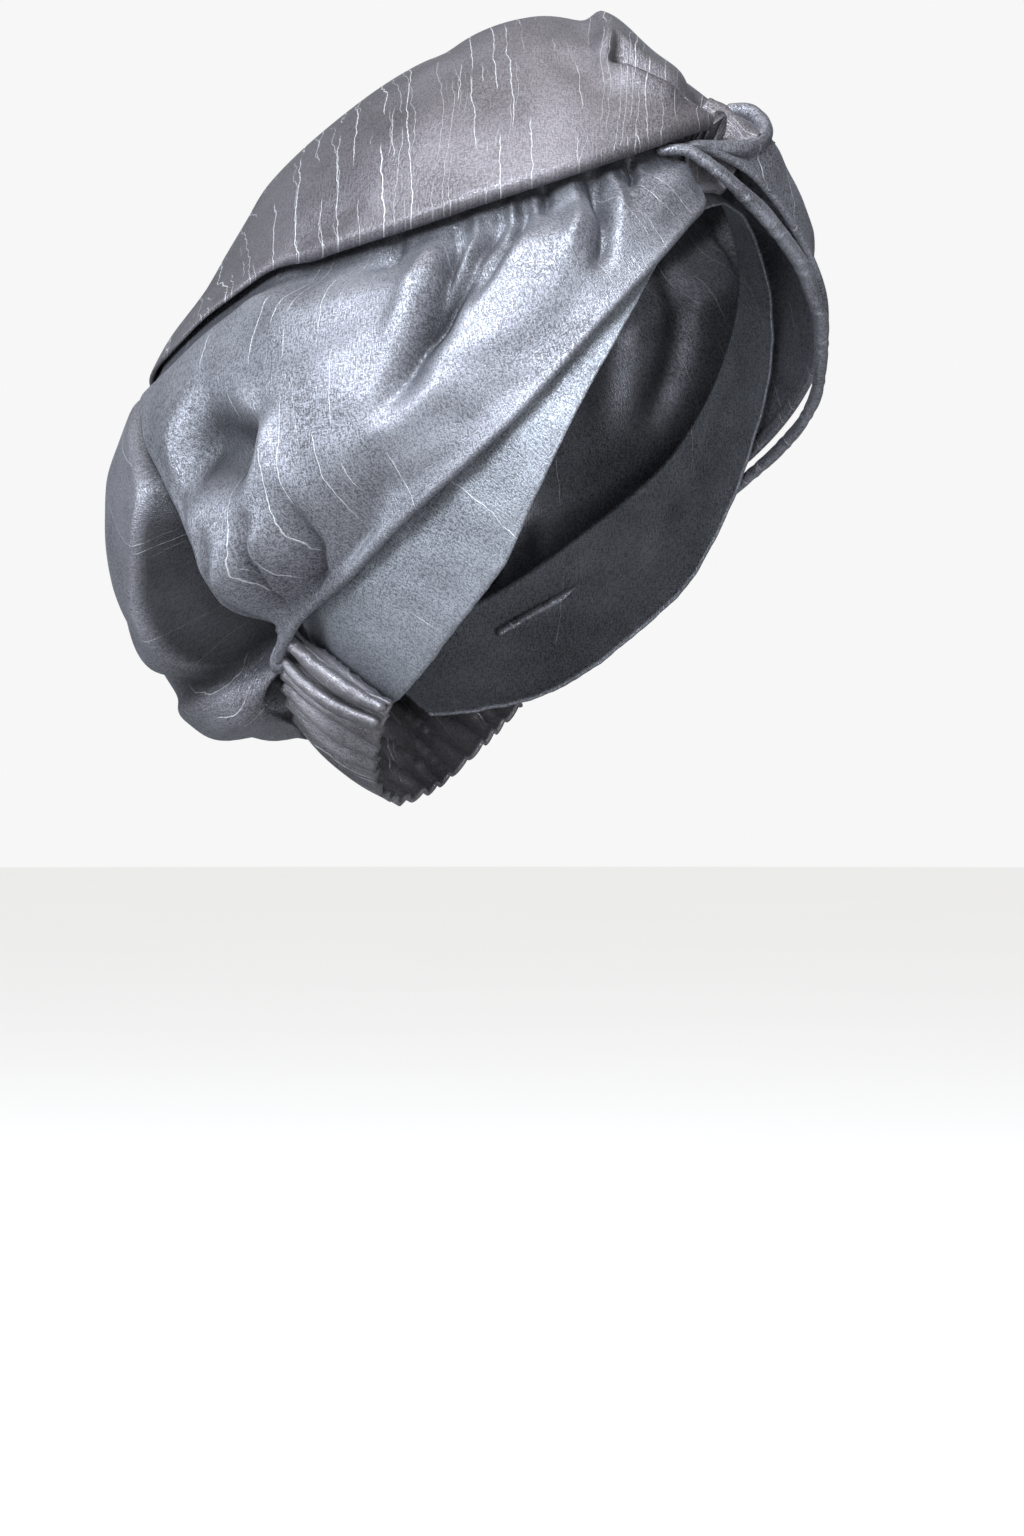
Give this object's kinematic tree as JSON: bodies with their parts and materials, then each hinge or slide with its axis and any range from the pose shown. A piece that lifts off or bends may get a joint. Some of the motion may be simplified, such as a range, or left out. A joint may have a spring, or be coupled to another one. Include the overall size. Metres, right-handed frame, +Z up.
{
  "type": "turban headwrap",
  "caption": "Soft satin turban headwrap in worn form: crown drape with a rolled edge, two side wraps crossing at the front, a pouch behind and a gathered casing at the nape.",
  "frame": {"origin": "the middle of the head that the turban is wrapped round", "axes": "the face looks towards -Y, +Z is up and the wearer's right is -X; the head tips back by 18 degrees about X, as the turban is worn"},
  "size_m": [0.189, 0.2352, 0.2535],
  "materials": {
    "satin": "silver-grey satin with slubs",
    "satin_shaded": "mauve-grey satin with slubs"
  },
  "bodies": {
    "root": {"top_drape": "satin", "right_wrap": "satin", "left_wrap": "satin", "left_roll": "satin", "twist_loop": "satin", "head_band": "satin", "back_pouch": "satin_shaded", "nape_casing": "satin_shaded", "loop_tuck": "satin_shaded"}
  },
  "joints": []
}
